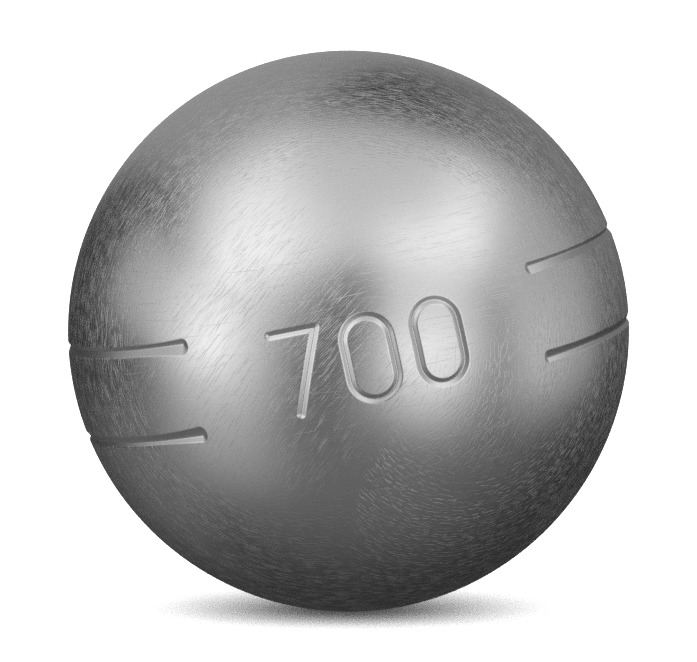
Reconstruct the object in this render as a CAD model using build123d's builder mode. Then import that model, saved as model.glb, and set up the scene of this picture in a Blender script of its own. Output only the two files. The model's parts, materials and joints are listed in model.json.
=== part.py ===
from build123d import *
import os
from math import asin, atan2, cos, degrees, radians, sin, sqrt, tan

# Petanque boule: two hollow steel half shells, centred on a lip and welded round the equator, then turned
# as one ball, scored with two grooves and engraved with the ball's weight.
# Millimetres. The origin is the ball's centre, +Z is up, and the engraved side faces -Y. The ball lies as it
# was set down, so the axis that it was turned about leans to the left of the engraved side.

# The ball
DIAMETER = 74.0           # over the turned outside
WALL = 6.175              # of both shells, which gives a ball of 700 g
LEAN = 12.35              # degrees, of the turning axis from upright

# The joint at the equator, from the cavity outwards
LIP_WALL = 2.0            # thickness of the lower shell's lip
LIP_HEIGHT = 3.0          # how far the lip stands into the upper shell
LIP_LEAD = 0.5            # chamfer that guides the lip into its socket
LIP_CLEARANCE = 0.05      # between the lip and the socket's wall
LIP_END_GAP = 0.3         # between the lip's end and the socket's floor
LAND = 1.1                # width of the flat ring where the shells butt
WELD_ROOT = 0.8           # width of the weld at its root
WELD_BEVEL = 30.0         # degrees, of each rim's bevel from the joint plane

# The two scored grooves, each broken where the ball is engraved
GROOVE_HEIGHT = 6.15      # of each groove's bottom above or below the equator
GROOVE_DEPTH = 0.39
GROOVE_GAP = 51.2         # length of the break, along the equator
RUN_OUT_LENGTH = 8.6      # of the stretch before each end where the groove deepens
LEFT_RUN_OUT_DEPTH = 0.20   # by which it is deeper at its left end
RIGHT_RUN_OUT_DEPTH = 0.07  # by which it is deeper at its right end

# The engraved weight, in grams: a seven and two noughts
FIGURE_HEIGHT = 11.0      # between the middles of the strokes
FIGURE_WIDTH = 6.2        # between the middles of the strokes
FIGURE_PITCH = 9.4        # from one figure's middle to the next
FIGURE_DEPTH = 0.34
SEVEN_FOOT = 1.2          # of the seven's foot, left of the figure's middle

# The pointed cutter that makes grooves and figures
CUTTER_HALF_ANGLE = 60.0  # degrees, of the cutter's flank from its own axis
CUTTER_SPARE = 0.5        # by which the cutter's flanks stand clear of the steel

RADIUS = DIAMETER / 2
BORE = RADIUS - WALL
LIP_RADIUS = BORE + LIP_WALL
SOCKET_RADIUS = LIP_RADIUS + LIP_CLEARANCE
SOCKET_DEPTH = LIP_HEIGHT + LIP_END_GAP
ROOT_RADIUS = SOCKET_RADIUS + LAND
FLANK = tan(radians(CUTTER_HALF_ANGLE))
CENTRE = (0, 0, 0)
CORNER = (Align.MIN, Align.MIN)
BELOW = (Align.MIN, Align.MAX)

# The turning axis, and the plane through it that holds the profile of each piece, right of the front
turning_axis = Axis(CENTRE, (-sin(radians(LEAN)), 0, cos(radians(LEAN))))
up = turning_axis.direction
front = Vector(0, -1, 0)


def around(azimuth, middle=CENTRE):
    """Plane along the turning axis: x points outwards, that many degrees right of the front, and y up."""
    outward = front.rotate(turning_axis, azimuth)
    return Plane(middle, outward, outward.cross(up))


profile_plane = around(90)

# The V between the rims that the weld fills, as points of the profile
weld_edge = WELD_ROOT / 2 + (RADIUS - ROOT_RADIUS) * tan(radians(WELD_BEVEL))
weld_v = [
    (ROOT_RADIUS, WELD_ROOT / 2),
    (ROOT_RADIUS, -WELD_ROOT / 2),
    (RADIUS, -weld_edge),
    (RADIUS, weld_edge),
]


def cutter(tip, depth, height=0.0):
    """Outline of the cutter, whose point is tip away from the axis that it swings about."""
    reach = depth + CUTTER_SPARE
    return [
        (tip, height),
        (tip + reach, height - reach * FLANK),
        (tip + reach, height + reach * FLANK),
    ]


def half_cutter(tip, depth, height=0.0):
    """Upper half of that outline, which spins about the cutter's own axis."""
    point, _, flank_end = cutter(tip, depth, height)
    return [point, (flank_end[0], height), flank_end]


# Grooves: a V scored round the turning axis. Before each end its path swings in on a smaller circle, which
# touches the main one, and the end itself has the shape of the cutter's point.
groove_radius = sqrt(RADIUS**2 - GROOVE_HEIGHT**2) - GROOVE_DEPTH
run_out_angle = degrees(RUN_OUT_LENGTH / groove_radius)
start_azimuth = degrees(GROOVE_GAP / DIAMETER) + run_out_angle


def run_out(depth):
    """The circle that ends the groove: how far its middle is from the turning axis, its radius, its angle."""
    end_radius = groove_radius - depth
    end_along = end_radius * cos(radians(run_out_angle))
    end_across = end_radius * sin(radians(run_out_angle))
    offset = (groove_radius**2 - end_radius**2) / (2 * (groove_radius - end_along))
    return offset, groove_radius - offset, degrees(atan2(end_across, end_along - offset))


with BuildPart() as groove_cuts:
    for height in (GROOVE_HEIGHT, -GROOVE_HEIGHT):
        with BuildSketch(around(start_azimuth)):
            Polygon(*cutter(groove_radius, GROOVE_DEPTH, height), align=None)
        revolve(axis=turning_axis, revolution_arc=360 - 2 * start_azimuth)
        for side, extra_depth in ((-1, LEFT_RUN_OUT_DEPTH), (1, RIGHT_RUN_OUT_DEPTH)):
            offset, swing_radius, swing = run_out(extra_depth)
            end_depth = GROOVE_DEPTH + extra_depth
            middle = around(side * start_azimuth).x_dir * offset
            end_plane = around(side * (start_azimuth - swing), middle)
            with BuildSketch(around(side * start_azimuth, middle)):
                Polygon(*cutter(swing_radius, end_depth, height), align=None)
            revolve(axis=Axis(middle, up), revolution_arc=-side * swing)
            with BuildSketch(end_plane):
                Polygon(*half_cutter(swing_radius, end_depth, height), align=None)
            revolve(axis=Axis(middle + up * height, end_plane.x_dir))

# Figures: each stroke is the cutter swung about an axis through the ball's centre, so a straight stroke
# is an arc of a great circle and a round one circles a point of the surface
tip_radius = RADIUS - FIGURE_DEPTH


def figure_frame(place):
    """Outward and rightward directions at the middle of the figure in that place, counted right from 0."""
    plane = around(degrees(place * FIGURE_PITCH / RADIUS))
    return plane.x_dir, -plane.z_dir


def on_ball(frame, right, above):
    """Direction from the centre to a point that far right of and above the figure's middle."""
    outward, rightward = frame
    return (outward * RADIUS + rightward * right + up * above).normalized()


def straight(start, end):
    """Stroke along a great circle: start, axis and angle of the cutter's swing."""
    return start, start.cross(end).normalized(), start.get_angle(end)


def seven(frame):
    """Strokes of a seven, and the points where the cutter goes in or turns."""
    half_width, half_height = FIGURE_WIDTH / 2, FIGURE_HEIGHT / 2
    left = on_ball(frame, -half_width, half_height)
    corner = on_ball(frame, half_width, half_height)
    foot = on_ball(frame, -SEVEN_FOOT, -half_height)
    return [straight(left, corner), straight(corner, foot)], [left, corner, foot]


def nought(frame):
    """Strokes of a nought: a half round at each end, and the two great circles that touch both."""
    outward, rightward = frame
    bend = FIGURE_WIDTH / 2 / RADIUS
    middles = [on_ball(frame, 0, sign * (FIGURE_HEIGHT - FIGURE_WIDTH) / 2) for sign in (1, -1)]
    offset = asin(sin(bend) / outward.dot(middles[0]))
    strokes = []
    sides = []
    for sign in (1, -1):
        pole = outward * sin(offset) - rightward * (sign * cos(offset))
        sides.append([(middle - pole * middle.dot(pole)).normalized() for middle in middles])
        strokes.append(straight(*sides[-1]))
    for middle, touches in zip(middles, zip(*sides)):
        right_arm, left_arm = [touch - middle * touch.dot(middle) for touch in touches]
        sweep = right_arm.get_angle(left_arm)
        strokes.append((touches[0], middle, sweep if middle is middles[0] else -sweep))
    return strokes, []


with BuildPart() as figure_cuts:
    for figure, place in ((seven, -1), (nought, 0), (nought, 1)):
        strokes, points = figure(figure_frame(place))
        for start, pole, sweep in strokes:
            with BuildSketch(Plane(CENTRE, start, start.cross(pole))):
                Polygon(*cutter(tip_radius, FIGURE_DEPTH), align=None)
            revolve(axis=Axis(CENTRE, pole), revolution_arc=sweep)
        for point in points:
            with BuildSketch(Plane(CENTRE, point, point.cross(up))):
                Polygon(*half_cutter(tip_radius, FIGURE_DEPTH), align=None)
            revolve(axis=Axis(CENTRE, point))

# Upper shell: the half with the socket
with BuildPart() as upper_shell:
    with BuildSketch(profile_plane):
        Circle(RADIUS)
        Circle(BORE, mode=Mode.SUBTRACT)
        Rectangle(RADIUS, RADIUS, align=CORNER, mode=Mode.INTERSECT)
        Rectangle(SOCKET_RADIUS, SOCKET_DEPTH, align=CORNER, mode=Mode.SUBTRACT)
        Polygon(*weld_v, align=None, mode=Mode.SUBTRACT)
    revolve(axis=turning_axis)
    add(groove_cuts.part, mode=Mode.SUBTRACT)
    add(figure_cuts.part, mode=Mode.SUBTRACT)

# Lower shell: the half with the lip
with BuildPart() as lower_shell:
    with BuildSketch(profile_plane):
        Circle(RADIUS)
        Rectangle(RADIUS, RADIUS, align=BELOW, mode=Mode.INTERSECT)
        Polygon(*weld_v, align=None, mode=Mode.SUBTRACT)
        Polygon(
            (0, 0),
            (LIP_RADIUS, 0),
            (LIP_RADIUS, LIP_HEIGHT - LIP_LEAD),
            (LIP_RADIUS - LIP_LEAD, LIP_HEIGHT),
            (0, LIP_HEIGHT),
            align=None,
        )
        Circle(BORE, mode=Mode.SUBTRACT)
    revolve(axis=turning_axis)
    add(groove_cuts.part, mode=Mode.SUBTRACT)
    add(figure_cuts.part, mode=Mode.SUBTRACT)

# Weld bead: fills the V between the rims, and is turned flush with the ball
with BuildPart() as weld_bead:
    with BuildSketch(profile_plane):
        Polygon(*weld_v, align=None)
        Circle(RADIUS, mode=Mode.INTERSECT)
    revolve(axis=turning_axis)
    add(figure_cuts.part, mode=Mode.SUBTRACT)

STEEL_DENSITY = 7.85e-6   # kg per cubic millimetre
upper_shell.part.label = "upper_shell"
lower_shell.part.label = "lower_shell"
weld_bead.part.label = "weld_bead"
pieces = [upper_shell.part, lower_shell.part, weld_bead.part]
print("mass of the ball, kg:", round(sum(piece.volume for piece in pieces) * STEEL_DENSITY, 4))

os.makedirs("parts", exist_ok=True)
export_step(upper_shell.part, "parts/upper_shell.step")
export_step(lower_shell.part, "parts/lower_shell.step")
export_step(weld_bead.part, "parts/weld_bead.step")
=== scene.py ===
import json
from math import cos, pi, radians, sin, sqrt, tan

import bpy
import numpy as np
from mathutils import Matrix, Quaternion, Vector


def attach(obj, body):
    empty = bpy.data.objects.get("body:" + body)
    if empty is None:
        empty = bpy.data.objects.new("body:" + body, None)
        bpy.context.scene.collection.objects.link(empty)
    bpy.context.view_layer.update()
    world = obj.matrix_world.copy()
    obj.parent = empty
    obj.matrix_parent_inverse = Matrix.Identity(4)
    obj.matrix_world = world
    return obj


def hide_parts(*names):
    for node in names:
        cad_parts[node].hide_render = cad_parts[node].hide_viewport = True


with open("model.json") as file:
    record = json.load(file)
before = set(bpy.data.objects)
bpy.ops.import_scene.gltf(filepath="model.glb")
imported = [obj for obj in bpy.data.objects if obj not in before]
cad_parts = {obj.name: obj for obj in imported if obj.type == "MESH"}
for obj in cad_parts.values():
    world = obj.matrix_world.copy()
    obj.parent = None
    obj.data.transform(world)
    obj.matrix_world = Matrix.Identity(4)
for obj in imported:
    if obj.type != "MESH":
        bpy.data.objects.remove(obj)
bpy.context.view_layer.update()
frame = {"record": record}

# Lower shell
# The half of the ball that lies on the ground: a steel disc pressed into a bowl and turned, with a bevelled
# rim for the weld and a lip that centres the other half. Its outside is turned, scored and engraved together
# with the rest of the ball once the halves are welded, so the surface of the whole ball is worked out here.

ball = frame["record"]["mounts"][0]["dims"]["r_mm"] / 1000
wall = 0.006175
lean = radians(12.35)              # of the turning axis from upright, to the left of the engraved side
lip_wall = 0.0020
lip_height = 0.0030
lip_lead = 0.0005                  # chamfer that guides the lip into its socket
lip_clearance = 0.00005            # between the lip and the socket's wall
land = 0.0011                      # width of the flat ring where the shells butt
root_height = 0.0004               # half the width of the weld at its root
bevel = tan(radians(30))           # rise of each rim's bevel
flank = tan(radians(60))           # of the pointed cutter that makes grooves and figures
cutter_point = 0.00003             # radius of the cutter's worn point
worn_edge = 0.00004                # over which the edges of the cuts are rounded
bore = ball - wall
lip_radius = bore + lip_wall
socket_radius = lip_radius + lip_clearance
root_radius = socket_radius + land

groove_height = 0.00615
groove_depth = 0.00039
groove_gap = 0.0512                # length of the break where the ball is engraved
run_out_length = 0.0086            # of the stretch before each end where the groove deepens
left_run_out = 0.00020             # by which it is deeper at its left end
right_run_out = 0.00007            # by which it is deeper at its right end
groove_radius = sqrt(ball**2 - groove_height**2) - groove_depth
end_azimuth = groove_gap / 2 / ball
start_azimuth = end_azimuth + run_out_length / groove_radius

figure_height = 0.0110
figure_width = 0.0062
figure_pitch = 0.0094
figure_depth = 0.00034
figure_reach = 0.1                 # angle from a stroke, past which nothing is cut
seven_foot = 0.0012                # of the seven's foot, left of the figure's middle


def graded(stops, spacing, trial_places=40001):
    """Places along a line, whose spacing goes straight from each stop's value to the next.

    They are the places where the running sum of one over the spacing passes whole steps."""
    fine = np.linspace(stops[0], stops[-1], trial_places)
    density = 1 / np.interp(fine, stops, spacing)
    steps = np.concatenate([[0], np.cumsum((density[1:] + density[:-1]) / 2 * np.diff(fine))])
    return np.interp(np.linspace(0, steps[-1], int(round(steps[-1])) + 1), steps, fine)


def direction(azimuth, latitude):
    """Unit vectors about the turning axis: azimuth turns right from the engraved side, latitude rises."""
    azimuth, latitude = np.broadcast_arrays(azimuth, latitude)
    level = np.cos(latitude)
    return np.stack([level * np.sin(azimuth), -level * np.cos(azimuth), np.sin(latitude)], axis=-1)


def leaned(points):
    """Points about the turning axis, tipped to the left with it, in the part's own frame."""
    right, back, up = np.moveaxis(points, -1, 0)
    return np.stack([right * cos(lean) - up * sin(lean), back, right * sin(lean) + up * cos(lean)], axis=-1)


def groove_run(azimuth):
    """Radius of the groove's bottom about the turning axis, and the angle past the groove's nearer end.

    Before its end the bottom leaves the main circle on a smaller one that touches it: with the small circle's
    middle at an offset, the radius is offset times the cosine of the turn, plus the root of the small radius
    squared less the offset times the sine of the turn, squared."""
    end_radius = groove_radius - np.where(azimuth < 0, left_run_out, right_run_out)
    end_along = end_radius * cos(start_azimuth - end_azimuth)
    offset = (groove_radius**2 - end_radius**2) / (2 * (groove_radius - end_along))
    within = np.maximum(np.abs(azimuth), end_azimuth)
    turn = np.maximum(start_azimuth - within, 0)
    bottom = offset * np.cos(turn) + np.sqrt((groove_radius - offset)**2 - (offset * np.sin(turn))**2)
    return bottom, within - np.abs(azimuth)


def scored(azimuth, latitude, repeats=7):
    """Distance from the centre to the flanks of the two grooves.

    A flank stands off the bottom line by the distance across over the flank's slope, and both depend on the
    distance that is looked for, so it is put in and worked out again a few times. Far from the grooves it is
    kept within bounds, above the ball."""
    bottom, past = groove_run(azimuth)
    outward = np.cos(latitude) * np.cos(past)
    reach = np.full(np.broadcast(azimuth, latitude).shape, ball)
    for _ in range(repeats):
        above = np.abs(reach * np.sin(latitude)) - groove_height
        aside = reach * np.cos(latitude) * np.sin(past)
        across = np.sqrt(above**2 + aside**2 + cutter_point**2)
        reach = np.minimum((bottom + across / flank) / np.maximum(outward, 0.05), 1.2 * ball)
    return reach


def unit(vector):
    """The vector, at length one."""
    return vector / np.linalg.norm(vector)


def off_straight(rays, start, end):
    """Angle from each ray to the great circle arc from start to end.

    It is the arc sine of the distance from the circle's plane beside the arc, and the angle to the nearer end
    elsewhere."""
    pole = unit(np.cross(start, end))
    beside = (rays @ np.cross(pole, start) > 0) & (rays @ np.cross(end, pole) > 0)
    to_line = np.arcsin(np.abs(rays @ pole))
    to_end = np.arccos(np.clip(np.maximum(rays @ start, rays @ end), -1, 1))
    return np.where(beside, to_line, to_end)


def off_round(rays, middle, bend, right, left):
    """Angle from each ray to the circle round middle, on its outer side between the right and left ends."""
    beside = (rays @ np.cross(middle, right) > 0) & (rays @ np.cross(left, middle) > 0)
    to_line = np.abs(np.arccos(np.clip(rays @ middle, -1, 1)) - bend)
    return np.where(beside, to_line, pi)


def figure_axes(place):
    """Outward and rightward directions of the figure in that place, counted right from the middle one."""
    turn = place * figure_pitch / ball
    return np.array([sin(turn), -cos(turn), 0]), np.array([cos(turn), sin(turn), 0])


def figure_point(axes, right, above):
    """Direction from the centre to a point that far right of and above a figure's middle."""
    outward, rightward = axes
    return unit(outward * ball + rightward * right + np.array([0, 0, above]))


def off_seven(rays, axes):
    """Angle from each ray to a seven: a level stroke and a slanting one."""
    left = figure_point(axes, -figure_width / 2, figure_height / 2)
    corner = figure_point(axes, figure_width / 2, figure_height / 2)
    foot = figure_point(axes, -seven_foot, -figure_height / 2)
    return np.minimum(off_straight(rays, left, corner), off_straight(rays, corner, foot))


def off_nought(rays, axes):
    """Angle from each ray to a nought: a half round at each end and the two straights that touch both."""
    outward, rightward = axes
    bend = figure_width / 2 / ball
    rise = (figure_height - figure_width) / 2
    top = figure_point(axes, 0, rise)
    foot = figure_point(axes, 0, -rise)
    offset = np.arcsin(sin(bend) / (outward @ top))
    right_pole = outward * np.sin(offset) - rightward * np.cos(offset)
    left_pole = outward * np.sin(offset) + rightward * np.cos(offset)
    top_right, foot_right = [unit(end - right_pole * (end @ right_pole)) for end in (top, foot)]
    top_left, foot_left = [unit(end - left_pole * (end @ left_pole)) for end in (top, foot)]
    return np.minimum.reduce([
        off_straight(rays, top_right, foot_right),
        off_straight(rays, top_left, foot_left),
        off_round(rays, top, bend, top_right, top_left),
        off_round(rays, foot, bend, foot_left, foot_right),
    ])


def engraved(azimuth, latitude):
    """Distance from the centre to the flanks of the figures.

    It is the distance of the cutter's tip, over the cosine of the angle from the stroke less its sine divided
    by the flank's slope."""
    rays = direction(azimuth, latitude)
    off = np.minimum.reduce([
        off_seven(rays, figure_axes(-1)),
        off_nought(rays, figure_axes(0)),
        off_nought(rays, figure_axes(1)),
    ])
    off = np.minimum(off, figure_reach)
    blunt = np.sqrt(np.sin(off)**2 + (cutter_point / ball)**2)
    return (ball - figure_depth) / (np.cos(off) - blunt / flank)


def turned(azimuth, latitude):
    """Distance from the centre to the ball's outside: the lesser of sphere and cuts, blended at the edges."""
    cuts = np.minimum(scored(azimuth, latitude), engraved(azimuth, latitude))
    share = np.clip(0.5 + 0.5 * (cuts - ball) / worn_edge, 0, 1)
    return cuts + (ball - cuts) * share - worn_edge * share * (1 - share)


# Columns of the grid, by azimuth: close where the figures and the groove ends are
figure_side = 1.5 * figure_pitch - 0.0004
groove_end = end_azimuth * ball
half_columns = graded(
    [0, figure_side, figure_side + 0.0012, groove_end - 0.0020, groove_end - 0.0014, groove_end + 0.0004,
     groove_end + 0.0016, groove_end + run_out_length, groove_end + 2 * run_out_length, pi * ball],
    [0.00009, 0.00009, 0.0005, 0.0005, 0.00007, 0.00007, 0.0003, 0.0004, 0.0013, 0.0013],
) / ball
columns = np.concatenate([-half_columns[:0:-1], half_columns[:-1]])

# Rows of the outside, by height above the joint: close where the figures and the groove are
rim_start = root_height - root_radius * bevel
rim_reach = (sqrt((1 + bevel**2) * ball**2 - rim_start**2) - bevel * rim_start) / (1 + bevel**2)
rim_height = rim_start + bevel * rim_reach
groove_slope = groove_height / sqrt(ball**2 - groove_height**2)
lower_side = 1 / (1 / flank - groove_slope)   # height of the groove's lower flank, for a depth of one
upper_side = 1 / (1 / flank + groove_slope)
rim_place = np.arcsin(rim_height / ball) * ball
groove_place = np.arcsin(groove_height / ball) * ball
row_places = graded(
    [rim_place, groove_place - 0.0014, groove_place - 0.0011, groove_place + 0.0009, groove_place + 0.0030,
     0.0150, pi / 2 * ball],
    [0.00010, 0.00010, 0.00007, 0.00007, 0.0005, 0.0012, 0.0016],
)[:-1]
row_heights = ball * np.sin(row_places / ball)
row_shift = np.interp(
    row_heights,
    groove_height + np.array([-0.0024, -lower_side * groove_depth, 0, upper_side * groove_depth, 0.0024]),
    [0, -lower_side, 0, upper_side, 0],
)
spread_end = 0.004                 # past the groove's end, by which the rows lie evenly again


def outside_latitudes(heights, shift):
    """Latitude of each row at each column: the rows near a groove spread with it where it deepens."""
    bottom, past = groove_run(columns)
    deeper = (groove_radius - bottom) * np.clip(1 - past * ball / spread_end, 0, 1)
    return np.arcsin((heights[:, None] + shift[:, None] * deeper) / ball)


def outside(latitudes):
    """Points of the ball's outside on the grid, and how far each lies below the sphere."""
    reach = turned(columns[None, :], latitudes)
    return direction(columns[None, :], latitudes) * reach[..., None], ball - reach


def ring_rows(profile):
    """Rows that carry the profile's points, each a radius and a height, round the turning axis."""
    radius, height = np.array(profile).T[:, :, None]
    around = direction(columns, 0)[None]
    rows = around * radius[..., None]
    rows[..., 2] = height
    return rows


def bore_profile(lowest, count=14):
    """Radius and height of points up the inside of a shell, from a height to near the pole."""
    rise = np.linspace(np.arcsin(lowest / bore), pi / 2, count + 1)[:-1]
    return list(zip(bore * np.cos(rise), bore * np.sin(rise)))


def lathe_piece(name, rows, depths, corners, poles):
    """Closed mesh from rows that go down the outside and round the inside, at the part's own place.

    Each row is joined to the next all the way round. A fan closes each pole, and with no poles the last row
    is joined to the first. Corners are the rows where the surface turns sharply."""
    count, round_count = rows.shape[:2]
    index = np.arange(count * round_count).reshape(count, round_count)
    near, far = (index[:-1], index[1:]) if len(poles) else (index, np.roll(index, -1, axis=0))
    quads = np.stack([near, far, np.roll(far, -1, axis=1), np.roll(near, -1, axis=1)], axis=-1)
    faces = quads.reshape(-1, 4).tolist()
    points = rows.reshape(-1, 3)
    if len(poles):
        first, last = index[0], index[-1]
        top = np.stack([np.full(round_count, index.size), first, np.roll(first, -1)], axis=-1)
        end = np.stack([np.full(round_count, index.size + 1), np.roll(last, -1), last], axis=-1)
        faces += top.tolist() + end.tolist()
        points = np.concatenate([points, np.array(poles)])
    mesh = bpy.data.meshes.new(name)
    mesh.from_pydata(leaned(points).tolist(), [], faces)
    mesh.shade_smooth()
    edges = np.empty(2 * len(mesh.edges), dtype=np.int32)
    mesh.edges.foreach_get("vertices", edges)
    edge_rows = edges.reshape(-1, 2) // round_count
    sharp = (edge_rows[:, 0] == edge_rows[:, 1]) & np.isin(edge_rows[:, 0], corners)
    mesh.attributes.new("sharp_edge", "BOOLEAN", "EDGE").data.foreach_set("value", sharp)
    cut = np.zeros(len(points))
    cut[:index.size] = depths.ravel()
    mesh.attributes.new("cut_depth", "FLOAT", "POINT").data.foreach_set("value", cut)
    piece = bpy.data.objects.new(name, mesh)
    bpy.context.scene.collection.objects.link(piece)
    return piece


def place_node(tree, kind, inputs=(), **settings):
    """Adds a node, gives it its settings, and fills its inputs: a socket is linked and a value is set."""
    node = tree.nodes.new(kind)
    for name, value in settings.items():
        setattr(node, name, value)
    for name, value in dict(inputs).items():
        socket = node.inputs[name]
        if isinstance(value, bpy.types.NodeSocket):
            tree.links.new(value, socket)
        else:
            socket.default_value = value
    return node


def math(tree, operation, *values):
    """Adds a Math node and returns its result."""
    return place_node(tree, "ShaderNodeMath", enumerate(values), operation=operation).outputs[0]


def vector_math(tree, operation, *values):
    """Adds a Vector Math node and returns its result, a number for a dot product."""
    node = place_node(tree, "ShaderNodeVectorMath", enumerate(values), operation=operation)
    return node.outputs["Value" if operation == "DOT_PRODUCT" else "Vector"]


def ranged(tree, value, start, end, low=0.0, high=1.0, smooth=True):
    """Adds a Map Range node and returns its result: low at start, high at end, and level past both."""
    return place_node(
        tree, "ShaderNodeMapRange",
        {"Value": value, "From Min": start, "From Max": end, "To Min": low, "To Max": high},
        interpolation_type="SMOOTHSTEP" if smooth else "LINEAR",
    ).outputs["Result"]


# Hairlines: the ball is ground and brushed in passes, which cover it with short straight scratches.
# Each layer holds the scratches of one pass, which run round one axis over one patch of the ball: strips
# across that axis are divided into lengths, and every length has one V-shaped scratch of its own place, slant
# and depth. The brush presses harder in some streaks than in others, and a pass can wipe away older ones.
stagger = 17.0                     # lengths, by which the strips start apart at most
middle_spread = 0.4                # of a strip, over which the scratches' middles lie
fade_start, fade_end = 0.2, 0.5    # of a length, from the scratch's middle to where it gets shallow and ends
axis_full, axis_gone = 0.85 * ball, 0.97 * ball   # along the axis, where the scratches are full and gone
streak_scale = 0.5                 # streaks for each strip across, and for each length along
light_streak, hard_streak = 0.35, 0.65   # values of the streaks' noise with the least and the full pressure
least_pressure = 0.5
depth_power = 0.9                  # above one, most scratches are shallow, and below one, most are deep
in_turn = 1e-9                     # too little to move a scratch: it has the layers worked out in turn

hairlines = bpy.data.node_groups.new("brushed hairlines", "ShaderNodeTree")
for socket_name, socket_kind in (
    ("Place", "NodeSocketVector"),
    ("Turn", "NodeSocketVector"),
    ("Patch", "NodeSocketVector"),
    ("Patch Full", "NodeSocketFloat"),
    ("Patch Gone", "NodeSocketFloat"),
    ("Outside Share", "NodeSocketFloat"),
    ("Wipe", "NodeSocketFloat"),
    ("Strip", "NodeSocketFloat"),
    ("Length", "NodeSocketFloat"),
    ("Half Width", "NodeSocketFloat"),
    ("Deepest", "NodeSocketFloat"),
    ("Depth", "NodeSocketFloat"),
):
    hairlines.interface.new_socket(socket_name, in_out="INPUT", socket_type=socket_kind)
hairlines.interface.new_socket("Depth", in_out="OUTPUT", socket_type="NodeSocketFloat")
given = hairlines.nodes.new("NodeGroupInput").outputs
older_depth = place_node(hairlines, "ShaderNodeCombineXYZ", {"X": given["Depth"]}).outputs["Vector"]
layer_place = vector_math(hairlines, "MULTIPLY_ADD", older_depth, (in_turn, 0.0, 0.0), given["Place"])
turned_place = place_node(
    hairlines, "ShaderNodeMapping", {"Vector": layer_place, "Rotation": given["Turn"]}, vector_type="TEXTURE",
).outputs["Vector"]
turned_axes = place_node(hairlines, "ShaderNodeSeparateXYZ", {"Vector": turned_place}).outputs
strip_place = math(hairlines, "DIVIDE", turned_axes["X"], given["Strip"])
strip_number = math(hairlines, "FLOOR", strip_place)
strip_start = place_node(
    hairlines, "ShaderNodeTexWhiteNoise", {"W": strip_number}, noise_dimensions="1D",
).outputs["Value"]
way_round = math(hairlines, "MULTIPLY", math(hairlines, "ARCTAN2", turned_axes["Z"], turned_axes["Y"]), ball)
lengths_round = math(hairlines, "DIVIDE", way_round, given["Length"])
length_place = math(hairlines, "MULTIPLY_ADD", strip_start, stagger, lengths_round)
scratch_number = place_node(
    hairlines, "ShaderNodeCombineXYZ", {"X": strip_number, "Y": math(hairlines, "FLOOR", length_place)},
).outputs["Vector"]
scratch_noise = place_node(
    hairlines, "ShaderNodeTexWhiteNoise", {"Vector": scratch_number}, noise_dimensions="2D",
).outputs["Color"]
scratch_random = place_node(hairlines, "ShaderNodeSeparateColor", {"Color": scratch_noise}).outputs
from_strip = math(hairlines, "SUBTRACT", math(hairlines, "FRACT", strip_place), 0.5)
from_length = math(hairlines, "SUBTRACT", math(hairlines, "FRACT", length_place), 0.5)
scratch_side = math(hairlines, "SUBTRACT", scratch_random["Red"], 0.5)
scratch_slant = math(
    hairlines, "MULTIPLY", from_length, math(hairlines, "SUBTRACT", scratch_random["Blue"], 0.5),
)
scratch_middle = math(hairlines, "MULTIPLY_ADD", scratch_side, middle_spread, scratch_slant)
off_middle = math(hairlines, "ABSOLUTE", math(hairlines, "SUBTRACT", from_strip, scratch_middle))
off_scratch = math(
    hairlines, "DIVIDE", math(hairlines, "MULTIPLY", off_middle, given["Strip"]), given["Half Width"],
)
scratch_groove = math(hairlines, "MAXIMUM", math(hairlines, "SUBTRACT", 1.0, off_scratch), 0.0)
scratch_taper = ranged(hairlines, math(hairlines, "ABSOLUTE", from_length), fade_end, fade_start)
axis_fade = ranged(hairlines, math(hairlines, "ABSOLUTE", turned_axes["X"]), axis_gone, axis_full)
patch_share = ranged(
    hairlines, vector_math(hairlines, "DOT_PRODUCT", layer_place, given["Patch"]),
    given["Patch Gone"], given["Patch Full"], low=given["Outside Share"],
)
streak_place = place_node(
    hairlines, "ShaderNodeCombineXYZ", {"X": strip_place, "Y": lengths_round},
).outputs["Vector"]
streaks = place_node(
    hairlines, "ShaderNodeTexNoise", {"Vector": streak_place, "Scale": streak_scale, "Detail": 1.0},
    noise_dimensions="2D",
).outputs["Fac"]
pressure = ranged(hairlines, streaks, light_streak, hard_streak, low=least_pressure, smooth=False)
brushed = math(hairlines, "MULTIPLY", axis_fade, patch_share)
scratch_depth = math(
    hairlines, "MULTIPLY", math(hairlines, "MULTIPLY", given["Deepest"], pressure),
    math(hairlines, "POWER", scratch_random["Green"], depth_power),
)
new_depth = math(
    hairlines, "MULTIPLY", math(hairlines, "MULTIPLY", scratch_groove, scratch_taper),
    math(hairlines, "MULTIPLY", scratch_depth, brushed),
)
kept_depth = math(
    hairlines, "MULTIPLY", given["Depth"],
    math(hairlines, "SUBTRACT", 1.0, math(hairlines, "MULTIPLY", brushed, given["Wipe"])),
)
place_node(hairlines, "NodeGroupOutput", {"Depth": math(hairlines, "MAXIMUM", kept_depth, new_depth)})

# Satin steel: bare carbon steel with the hairlines over all the turned outside, plain and duller in the cuts
steel_grey = (0.56, 0.56, 0.56, 1.0)
plain_finish = (0.29, 0.33)        # roughness between the scratches, which varies a little over the ball
plain_noise = (0.3, 0.7)           # values of the noise that the two belong to
plain_noise_scale = 150.0
scratch_finish = 0.62              # roughness in a scratch
rough_depth = 0.000015             # of the scratches that are fully so rough
cut_finish = 0.38                  # roughness of the walls of grooves and figures
cut_start, cut_full = 0.00003, 0.00012   # depths below the sphere between which the hairlines end

steel = bpy.data.materials.new("satin_steel")
steel.use_nodes = True
steel_tree = steel.node_tree
steel_tree.nodes.clear()
steel_place = place_node(steel_tree, "ShaderNodeTexCoord").outputs["Object"]


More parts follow.
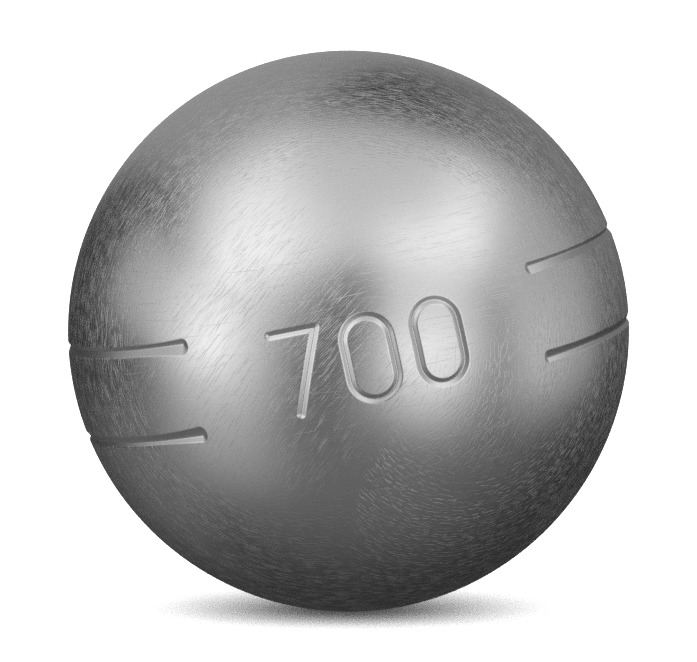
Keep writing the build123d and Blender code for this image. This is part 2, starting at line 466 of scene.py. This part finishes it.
def facing(azimuth, elevation):
    """Unit vector from the ball's centre, that many degrees right of its front and above its level."""
    side, rise = radians(azimuth), radians(elevation)
    return Vector((sin(side) * cos(rise), -cos(side) * cos(rise), sin(rise)))


# Each brushing covers a patch round one point of the ball, full as far as one angle from it and gone past
# another, with a share of its depth left outside. Its first pass wipes away a share of older scratches.
# Every pass has its own axis, which leaves the ball at that azimuth and elevation, and its own length.
brushings = (
    # All over, in rings round the front, deeper towards the sides
    {"patch": (180, 0), "full": 115, "gone": 180, "outside": 0.45, "wipe": 0.0,
     "strip": 0.00036, "half_width": 0.000042, "steepest": 0.65,
     "passes": (((-4, 15), 0.0040), ((8, 0), 0.0030), ((-18, 2), 0.0050), ((-4, -4), 0.0024))},
    # Left of the figures, slanting up to the right
    {"patch": (-22, 2), "full": 26, "gone": 40, "outside": 0.0, "wipe": 0.85,
     "strip": 0.00027, "half_width": 0.000030, "steepest": 0.45,
     "passes": (((60, -36), 0.0045), ((60, -42), 0.0032))},
    # Low on the right, in rings round a point beside the last figure's foot
    {"patch": (45, -31), "full": 39, "gone": 42, "outside": 0.0, "wipe": 0.9,
     "strip": 0.00032, "half_width": 0.000042, "steepest": 0.75,
     "passes": (((24, -1), 0.0040), ((27, -6), 0.0030), ((20, -6), 0.0024))},
    # High on the right, nearly level
    {"patch": (16, 19), "full": 13, "gone": 24, "outside": 0.0, "wipe": 0.85,
     "strip": 0.00028, "half_width": 0.000026, "steepest": 0.3,
     "passes": (((-90, 78), 0.0045), ((-90, 86), 0.0035))},
    # All over, a few longer and nearly level ones
    {"patch": (0, 0), "full": 90, "gone": 120, "outside": 1.0, "wipe": 0.0,
     "strip": 0.0013, "half_width": 0.000026, "steepest": 0.5,
     "passes": (((-90, 80), 0.0070),)},
)

# The back of the ball is brushed as its front is, mirrored
steel_axes = place_node(steel_tree, "ShaderNodeSeparateXYZ", {"Vector": steel_place}).outputs
to_front = math(steel_tree, "MULTIPLY", math(steel_tree, "ABSOLUTE", steel_axes["Y"]), -1.0)
front_place = place_node(
    steel_tree, "ShaderNodeCombineXYZ", {"X": steel_axes["X"], "Y": to_front, "Z": steel_axes["Z"]},
).outputs["Vector"]
scratched = 0.0
for brushing in brushings:
    patch_way = facing(*brushing["patch"])
    wipe = brushing["wipe"]
    for axis, length in brushing["passes"]:
        axis_way = facing(*axis)
        across = (patch_way - patch_way.project(axis_way)).normalized()
        turn = Matrix((axis_way, across, axis_way.cross(across))).transposed().to_euler()
        scratched = place_node(
            steel_tree, "ShaderNodeGroup",
            {"Place": front_place, "Turn": tuple(turn), "Patch": tuple(patch_way / ball),
             "Patch Full": cos(radians(brushing["full"])), "Patch Gone": cos(radians(brushing["gone"])),
             "Outside Share": brushing["outside"], "Wipe": wipe, "Strip": brushing["strip"],
             "Length": length, "Half Width": brushing["half_width"],
             "Deepest": brushing["half_width"] * brushing["steepest"], "Depth": scratched},
            node_tree=hairlines,
        ).outputs["Depth"]
        wipe = 0.0
cut_depth = place_node(steel_tree, "ShaderNodeAttribute", attribute_name="cut_depth").outputs["Fac"]
uncut = ranged(steel_tree, cut_depth, cut_start, cut_full, low=1.0, high=0.0)
hairline_height = math(steel_tree, "MULTIPLY", math(steel_tree, "MULTIPLY", scratched, -1.0), uncut)
steel_bump = place_node(
    steel_tree, "ShaderNodeBump", {"Strength": 1.0, "Distance": 1.0, "Height": hairline_height},
).outputs["Normal"]
blotches = place_node(
    steel_tree, "ShaderNodeTexNoise", {"Vector": steel_place, "Scale": plain_noise_scale, "Detail": 3.0},
).outputs["Fac"]
plain_roughness = ranged(steel_tree, blotches, *plain_noise, *plain_finish, smooth=False)
brushed_roughness = ranged(
    steel_tree, scratched, 0.0, rough_depth, low=plain_roughness, high=scratch_finish, smooth=False,
)
steel_roughness = ranged(
    steel_tree, uncut, 0.0, 1.0, low=cut_finish, high=brushed_roughness, smooth=False,
)
steel_shader = place_node(
    steel_tree, "ShaderNodeBsdfPrincipled",
    {"Base Color": steel_grey, "Metallic": 1.0, "Roughness": steel_roughness, "Normal": steel_bump},
).outputs["BSDF"]
place_node(steel_tree, "ShaderNodeOutputMaterial", {"Surface": steel_shader})

bore_start = 0.0005                # below the joint, where the bore's round begins under the lip
lower_inside = ring_rows(
    [(radius, -height) for radius, height in reversed(bore_profile(bore_start))]
    + [(sqrt(bore**2 - lip_height**2), lip_height), (lip_radius - lip_lead, lip_height),
       (lip_radius, lip_height - lip_lead), (lip_radius, 0), (root_radius, 0), (root_radius, -root_height)]
)
lower_rows, lower_depths = outside(-outside_latitudes(row_heights, row_shift))
lower_corner = len(lower_inside)
lower_shell = lathe_piece(
    "lower_half", np.concatenate([lower_inside, lower_rows]),
    np.concatenate([np.zeros(lower_inside.shape[:2]), lower_depths]),
    corners=np.arange(lower_corner - 6, lower_corner + 1),
    poles=[(0, 0, -bore), (0, 0, -ball)],
)
lower_shell.data.materials.append(steel)
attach(lower_shell, "root")
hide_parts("lower_shell")

# Upper shell
# The other pressed and turned half. A socket inside its rim fits over the lower shell's lip, the flat rings
# beside it butt, and the rim has the same bevel for the weld.

lip_end_gap = 0.0003               # between the lip's end and the socket's floor
socket_depth = lip_height + lip_end_gap
upper_inside = ring_rows(
    [(root_radius, root_height), (root_radius, 0), (socket_radius, 0), (socket_radius, socket_depth)]
    + bore_profile(socket_depth)
)
upper_rows, upper_depths = outside(outside_latitudes(row_heights, row_shift))
upper_rows, upper_depths = upper_rows[::-1], upper_depths[::-1]
upper_corner = len(upper_rows) - 1
upper_shell = lathe_piece(
    "upper_half", np.concatenate([upper_rows, upper_inside]),
    np.concatenate([upper_depths, np.zeros(upper_inside.shape[:2])]),
    corners=np.arange(upper_corner, upper_corner + 6),
    poles=[(0, 0, ball), (0, 0, bore)],
)
upper_shell.data.materials.append(steel)
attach(upper_shell, "root")
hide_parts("upper_shell")

# Weld bead
# Steel filler, run round the V between the two bevelled rims and turned flush with the ball, so that it can't
# be told from the shells. The middles of the figures are cut into it.

bead_step = 0.0001                 # height of the bead's rows
bead_heights = np.linspace(rim_height, -rim_height, int(round(2 * rim_height / bead_step)))
bead_rows, bead_depths = outside(outside_latitudes(bead_heights, np.zeros(len(bead_heights))))
root_rows = ring_rows([(root_radius, -root_height), (root_radius, root_height)])
bead_corner = len(bead_rows) - 1
weld_bead = lathe_piece(
    "weld_ring", np.concatenate([bead_rows, root_rows]),
    np.concatenate([bead_depths, np.zeros(root_rows.shape[:2])]),
    corners=[0, bead_corner, bead_corner + 1, bead_corner + 2],
    poles=[],
)
weld_bead.data.materials.append(steel)
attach(weld_bead, "root")
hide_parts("weld_bead")

# Floor
# A wide white studio floor that the ball lies on, lit evenly from above by its own large lamp. The steel
# doesn't mirror it.

floor_side = 12.0                  # from the ball to each edge
floor_white = (0.9, 0.9, 0.9, 1.0)
floor_lamp_side = 8.0
floor_lamp_height = 1.0
floor_glow = 1.8                   # brightness of the lamp
floor_mesh = bpy.data.meshes.new("floor")
floor_mesh.from_pydata(
    [(-floor_side, -floor_side, -ball), (floor_side, -floor_side, -ball),
     (floor_side, floor_side, -ball), (-floor_side, floor_side, -ball)], [], [(0, 1, 2, 3)],
)
floor = bpy.data.objects.new("floor", floor_mesh)
bpy.context.scene.collection.objects.link(floor)
paper = bpy.data.materials.new("white_paper")
paper.use_nodes = True
paper_tree = paper.node_tree
paper_tree.nodes.clear()
paper_shader = place_node(paper_tree, "ShaderNodeBsdfDiffuse", {"Color": floor_white}).outputs["BSDF"]
place_node(paper_tree, "ShaderNodeOutputMaterial", {"Surface": paper_shader})
floor_mesh.materials.append(paper)
floor.visible_glossy = False
floor.visible_shadow = False

floor_lamp = bpy.data.lights.new("floor_lamp", "AREA")
floor_lamp.shape = "SQUARE"
floor_lamp.size = floor_lamp_side
floor_lamp.energy = floor_glow * pi * floor_lamp_side**2
floor_light = bpy.data.objects.new("floor_lamp", floor_lamp)
floor_light.location = (0, 0, floor_lamp_height)
bpy.context.scene.collection.objects.link(floor_light)
lit_floor = bpy.data.collections.new("lit_floor")
lit_floor.objects.link(floor)
floor_light.light_linking.receiver_collection = lit_floor

# Studio
# Softboxes left and right of the camera, each with a lower one under it, and weaker panels overhead, at the
# sides and behind the ball, in a room that is dim in front and dark behind. Behind the ball the camera sees
# plain white.

photo_width = 697
ball_pixels = 280.8                # radius of the ball's outline in the photo
camera_azimuth = -4.48             # degrees right of the ball's front
camera_elevation = 5.45            # degrees
camera_distance = 60 * ball
sensor_width = 36.0


def softbox(name, azimuth, elevation, width, height, edge, brightness, roll):
    """Area light a metre from the ball, which faces it. Its azimuth counts from the camera.

    Its brightness rises smoothly from its rim, over the edge's share of each side."""
    lamp = bpy.data.lights.new(name, "AREA")
    lamp.shape = "RECTANGLE"
    lamp.size = width
    lamp.size_y = height
    lamp.energy = brightness * pi * width * height
    lamp.use_nodes = True
    tree = lamp.node_tree
    tree.nodes.clear()
    spot = place_node(tree, "ShaderNodeNewGeometry").outputs["Parametric"]
    spot_axes = place_node(tree, "ShaderNodeSeparateXYZ", {"Vector": spot}).outputs
    strength = 1.0
    for axis in ("X", "Y"):
        inward = math(tree, "MINIMUM", spot_axes[axis], math(tree, "SUBTRACT", 1.0, spot_axes[axis]))
        strength = math(tree, "MULTIPLY", strength, ranged(tree, inward, 0.0, edge))
    glow = place_node(tree, "ShaderNodeEmission", {"Strength": strength}).outputs["Emission"]
    place_node(tree, "ShaderNodeOutputLight", {"Surface": glow})
    stand = bpy.data.objects.new(name, lamp)
    toward = facing(camera_azimuth + azimuth, elevation)
    stand.location = toward
    stand.rotation_euler = (toward.to_track_quat("Z", "Y") @ Quaternion((0, 0, 1), radians(roll))).to_euler()
    bpy.context.scene.collection.objects.link(stand)


softbox("left_softbox", -47, 18, 1.45, 2.4, 0.4, 0.91, -15)
softbox("left_low_softbox", -60, -25, 1.4, 1.7, 0.45, 0.5, -20)
softbox("right_softbox", 35, 16, 1.2, 1.8, 0.35, 0.97, -10)
softbox("right_low_softbox", 31, -13, 1.2, 1.1, 0.4, 0.86, -15)
softbox("right_low_panel", 80, -8, 1.0, 1.0, 0.4, 0.31, 0)
softbox("top_panel", -6, 66, 3.5, 1.6, 0.15, 0.8, 12)
softbox("right_panel", 93, 20, 1.2, 2.0, 0.2, 0.55, 13)
softbox("left_panel", -80, 9, 1.5, 0.55, 0.1, 0.66, -15)
softbox("back_panel", 214.7, 46.2, 3.5, 0.875, 0.15, 0.4, 41.9)
softbox("back_right_panel", 148, 22, 1.0, 1.2, 0.3, 0.2, 0)
softbox("back_left_panel", -125, -33, 1.3, 1.0, 0.4, 0.14, 0)

# The room's glow, at shares of the way from straight below to straight above, and how it gets weaker behind
room_stops = ((0.0, 0.19), (0.125, 0.19), (0.275, 0.17), (0.45, 0.10), (0.675, 0.09), (1.0, 0.05))
back_end, front_start = -0.7, 0.5  # towards the camera, in a direction of length one
back_share = 0.14

room = bpy.data.worlds.new("room")
room.use_nodes = True
room_tree = room.node_tree
room_tree.nodes.clear()
room_way = place_node(room_tree, "ShaderNodeTexCoord").outputs["Generated"]
room_height = place_node(room_tree, "ShaderNodeSeparateXYZ", {"Vector": room_way}).outputs["Z"]
room_rise = math(room_tree, "MULTIPLY_ADD", room_height, 0.5, 0.5)
room_ramp = place_node(room_tree, "ShaderNodeValToRGB", {"Fac": room_rise})
for stop_place, _ in room_stops[1:-1]:
    room_ramp.color_ramp.elements.new(stop_place)
for element, (stop_place, stop_glow) in zip(room_ramp.color_ramp.elements, room_stops):
    element.position = stop_place
    element.color = (stop_glow, stop_glow, stop_glow, 1.0)
to_camera = vector_math(room_tree, "DOT_PRODUCT", room_way, tuple(facing(camera_azimuth, 0)))
room_front = ranged(room_tree, to_camera, back_end, front_start, low=back_share)
room_glow = math(room_tree, "MULTIPLY", room_ramp.outputs["Color"], room_front)
seen_by_camera = place_node(room_tree, "ShaderNodeLightPath").outputs["Is Camera Ray"]
room_strength = math(room_tree, "MAXIMUM", room_glow, seen_by_camera)
room_shader = place_node(
    room_tree, "ShaderNodeBackground", {"Color": (1.0, 1.0, 1.0, 1.0), "Strength": room_strength},
).outputs["Background"]
place_node(room_tree, "ShaderNodeOutputWorld", {"Surface": room_shader})
bpy.context.scene.world = room
bpy.context.scene.view_settings.view_transform = "Standard"
bpy.context.scene.cycles.use_denoising = False

camera = bpy.data.cameras.new("camera")
camera.sensor_width = sensor_width
camera.lens = sensor_width * ball_pixels / photo_width * sqrt((camera_distance / ball)**2 - 1)
camera_stand = bpy.data.objects.new("camera", camera)
camera_stand.location = camera_distance * facing(camera_azimuth, camera_elevation)
camera_stand.rotation_euler = camera_stand.location.to_track_quat("Z", "Y").to_euler()
bpy.context.scene.collection.objects.link(camera_stand)
bpy.context.scene.camera = camera_stand
